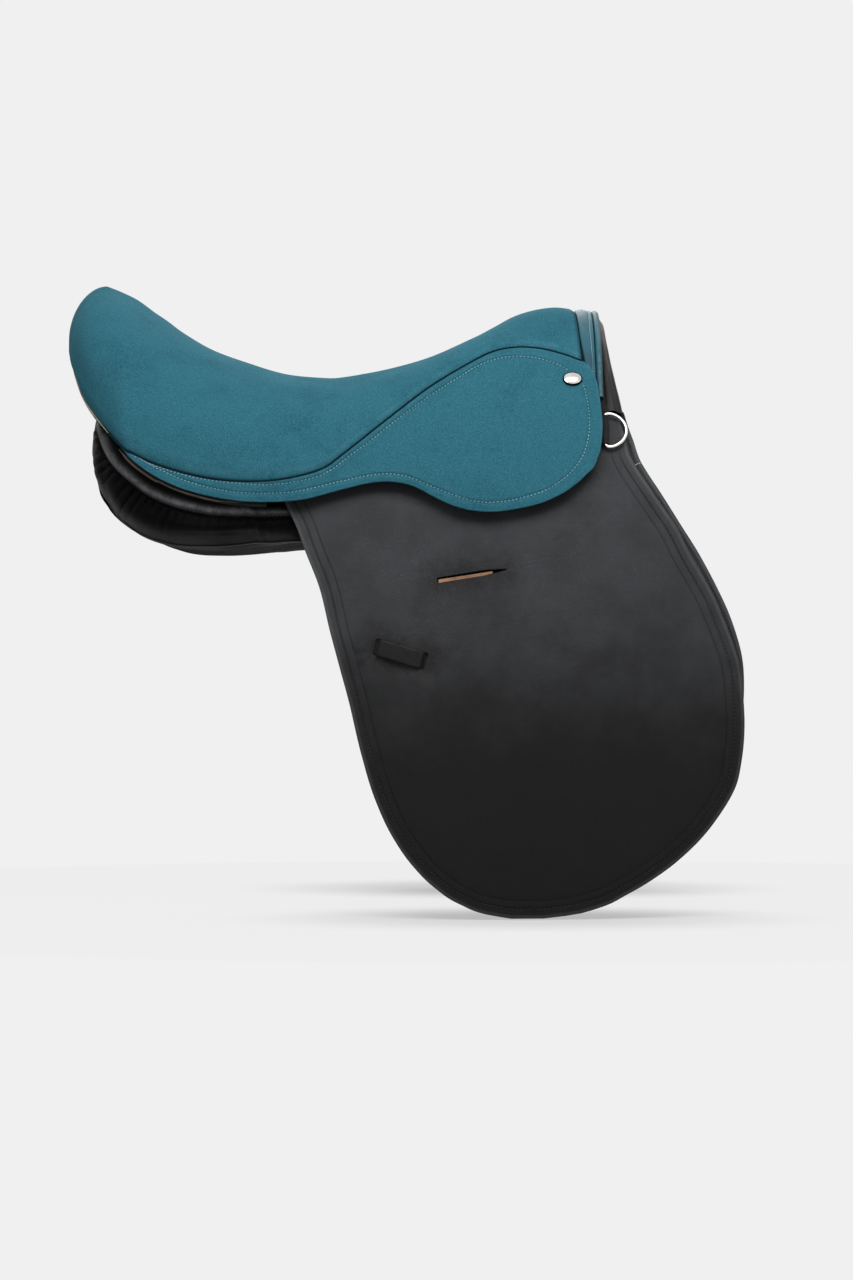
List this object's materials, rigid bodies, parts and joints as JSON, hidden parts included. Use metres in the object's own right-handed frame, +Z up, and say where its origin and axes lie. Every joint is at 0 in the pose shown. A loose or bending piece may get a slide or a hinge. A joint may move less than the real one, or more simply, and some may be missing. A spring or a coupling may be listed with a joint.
{
  "type": "polo saddle",
  "caption": "Polo saddle with a deep teal nubuck seat, skirts, long straight black flaps, wool-stuffed panels, girth straps, stirrup bars and front dees on a sprung wooden tree.",
  "frame": {"origin": "on the midplane, at the level of the panels' bearing faces, below the deepest part of the seat", "axes": "+X towards the pommel, +Y towards the horse's left side, +Z up"},
  "size_m": [0.5943, 0.3452, 0.5565],
  "materials": {
    "suede": "teal nubuck, matt, short nap",
    "smooth_teal": "smooth teal leather, satin",
    "black_leather": "black fine-grain leather, satin",
    "russet_leather": "undyed russet leather",
    "natural_leather": "raw cut leather edge",
    "cream_leather": "cream piping leather",
    "beech": "laminated beech, plain",
    "tree_steel": "plain steel strip",
    "bar_steel": "forged steel, satin",
    "chrome": "polished chrome plate",
    "webbing": "woven tree webbing",
    "foam": "seat padding"
  },
  "bodies": {
    "saddle": {"billet_web_left": "webbing", "billet_web_right": "webbing", "cantle_arch": "beech", "cantle_facing": "black_leather", "cantle_piping": "cream_leather", "cross_web": "webbing", "d_ring_chape_left": "black_leather", "d_ring_chape_right": "black_leather", "flap_top_left": "black_leather", "flap_top_right": "black_leather", "front_facing": "black_leather", "gullet_plate": "tree_steel", "head_arch": "beech", "head_plate": "tree_steel", "long_web_left": "webbing", "long_web_right": "webbing", "panel_left": "black_leather", "panel_right": "black_leather", "pommel_binding": "smooth_teal", "pommel_pad": "foam", "pommel_strip": "smooth_teal", "seat_canvas": "webbing", "seat_cover": "suede", "seat_foam": "foam", "side_rail_left": "beech", "side_rail_right": "beech", "skirt_left": "suede", "skirt_nail_left": "chrome", "skirt_nail_right": "chrome", "skirt_right": "suede", "spring_strip_left": "tree_steel", "spring_strip_right": "tree_steel", "stirrup_bar_left": "bar_steel", "stirrup_bar_right": "bar_steel", "sweat_flap_left": "black_leather", "sweat_flap_right": "black_leather", "tree_point_left": "russet_leather", "tree_point_right": "russet_leather", "under_edge_left": "russet_leather", "under_edge_right": "russet_leather"},
    "flap_left": {"flap_left": "black_leather", "keeper_left": "black_leather", "slit_lip_left": "natural_leather"},
    "skirt_lobe_left": {"skirt_lobe_left": "suede"},
    "billet_front_left": {"billet_front_left": "black_leather"},
    "billet_middle_left": {"billet_middle_left": "black_leather"},
    "billet_rear_left": {"billet_rear_left": "black_leather"},
    "d_ring_left": {"d_ring_left": "chrome"},
    "bar_catch_left": {"bar_catch_left": "bar_steel"},
    "flap_right": {"flap_right": "black_leather", "keeper_right": "black_leather", "slit_lip_right": "natural_leather"},
    "skirt_lobe_right": {"skirt_lobe_right": "suede"},
    "billet_front_right": {"billet_front_right": "black_leather"},
    "billet_middle_right": {"billet_middle_right": "black_leather"},
    "billet_rear_right": {"billet_rear_right": "black_leather"},
    "d_ring_right": {"d_ring_right": "chrome"},
    "bar_catch_right": {"bar_catch_right": "bar_steel"}
  },
  "joints": [
    {"name": "flap_lift_left", "type": "hinge", "parent": "saddle", "child": "flap_left", "pos_m": [-0.03368, 0.14697, -0.0102], "axis": [0.999, -0.0436, 0], "range_deg": [0, 80]},
    {"name": "skirt_lift_left", "type": "hinge", "parent": "saddle", "child": "skirt_lobe_left", "pos_m": [0.054, 0.14885, 0.028], "axis": [0.8995, -0.1947, 0.3911], "range_deg": [0, 75]},
    {"name": "billet_swing_front_left", "type": "hinge", "parent": "saddle", "child": "billet_front_left", "pos_m": [0.155, 0.11568, 0.045], "axis": [0.0445, 0.9745, 0.2201], "range_deg": [-3.5, 3.5]},
    {"name": "billet_swing_middle_left", "type": "hinge", "parent": "saddle", "child": "billet_middle_left", "pos_m": [0.115, 0.11373, 0.045], "axis": [0.0445, 0.9739, 0.2227], "range_deg": [-3.5, 3.5]},
    {"name": "billet_swing_rear_left", "type": "hinge", "parent": "saddle", "child": "billet_rear_left", "pos_m": [0.075, 0.1186, 0.045], "axis": [0.0445, 0.9733, 0.2253], "range_deg": [-3.5, 3.5]},
    {"name": "d_ring_swing_left", "type": "hinge", "parent": "saddle", "child": "d_ring_left", "pos_m": [0.2325, 0.11228, 0.0731], "axis": [-0.014, -0.3866, 0.9221], "range_deg": [0, 85]},
    {"name": "bar_catch_turn_left", "type": "hinge", "parent": "saddle", "child": "bar_catch_left", "pos_m": [0.09194, 0.10419, 0.10451], "axis": [0.0289, 0.8764, 0.4807], "range_deg": [0, 80]},
    {"name": "flap_lift_right", "type": "hinge", "parent": "saddle", "child": "flap_right", "pos_m": [-0.03368, -0.14697, -0.0102], "axis": [-0.999, -0.0436, 0], "range_deg": [0, 80]},
    {"name": "skirt_lift_right", "type": "hinge", "parent": "saddle", "child": "skirt_lobe_right", "pos_m": [0.054, -0.14885, 0.028], "axis": [-0.8995, -0.1947, -0.3911], "range_deg": [0, 75]},
    {"name": "billet_swing_front_right", "type": "hinge", "parent": "saddle", "child": "billet_front_right", "pos_m": [0.155, -0.11568, 0.045], "axis": [0.0445, -0.9745, 0.2201], "range_deg": [-3.5, 3.5]},
    {"name": "billet_swing_middle_right", "type": "hinge", "parent": "saddle", "child": "billet_middle_right", "pos_m": [0.115, -0.11373, 0.045], "axis": [0.0445, -0.9739, 0.2227], "range_deg": [-3.5, 3.5]},
    {"name": "billet_swing_rear_right", "type": "hinge", "parent": "saddle", "child": "billet_rear_right", "pos_m": [0.075, -0.1186, 0.045], "axis": [0.0445, -0.9733, 0.2253], "range_deg": [-3.5, 3.5]},
    {"name": "d_ring_swing_right", "type": "hinge", "parent": "saddle", "child": "d_ring_right", "pos_m": [0.2325, -0.11228, 0.0731], "axis": [0.014, -0.3866, -0.9221], "range_deg": [0, 85]},
    {"name": "bar_catch_turn_right", "type": "hinge", "parent": "saddle", "child": "bar_catch_right", "pos_m": [0.09194, -0.10419, 0.10451], "axis": [-0.0289, 0.8764, -0.4807], "range_deg": [0, 80]}
  ]
}
